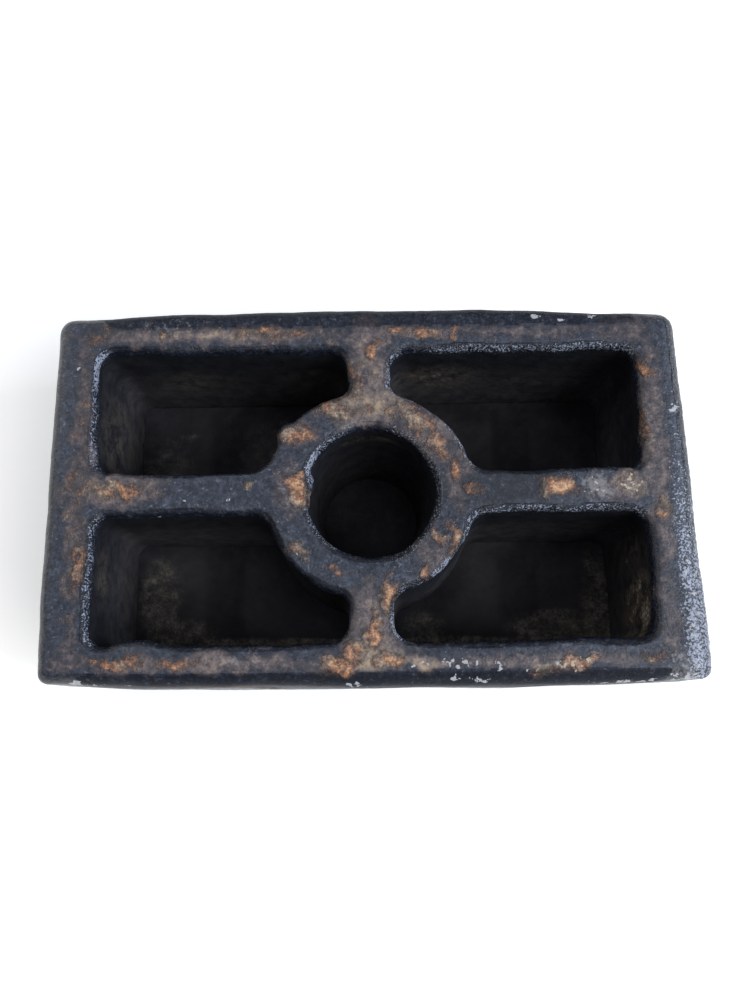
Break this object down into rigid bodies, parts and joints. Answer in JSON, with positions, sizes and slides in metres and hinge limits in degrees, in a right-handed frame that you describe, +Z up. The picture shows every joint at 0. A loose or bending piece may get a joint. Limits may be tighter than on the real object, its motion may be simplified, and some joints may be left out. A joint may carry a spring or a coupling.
{
  "type": "flower frog",
  "caption": "Heavy rectangular cast-iron flower frog: a framed block open into stem pockets around a round tapered centre socket, on a thin rubber mat.",
  "frame": {"origin": "middle of the rubber mat's underside, the face that the frog stands on", "axes": "+X along the length, +Y across the width towards the back, +Z up out of the openings"},
  "size_m": [0.1022, 0.0613, 0.028],
  "materials": {
    "iron": "old blackened sand casting, pebbled, with brown rust film and orange rust patches",
    "mat": "smooth matt black"
  },
  "bodies": {
    "root": {"cast_body": "iron", "base_mat": "mat"}
  },
  "joints": []
}
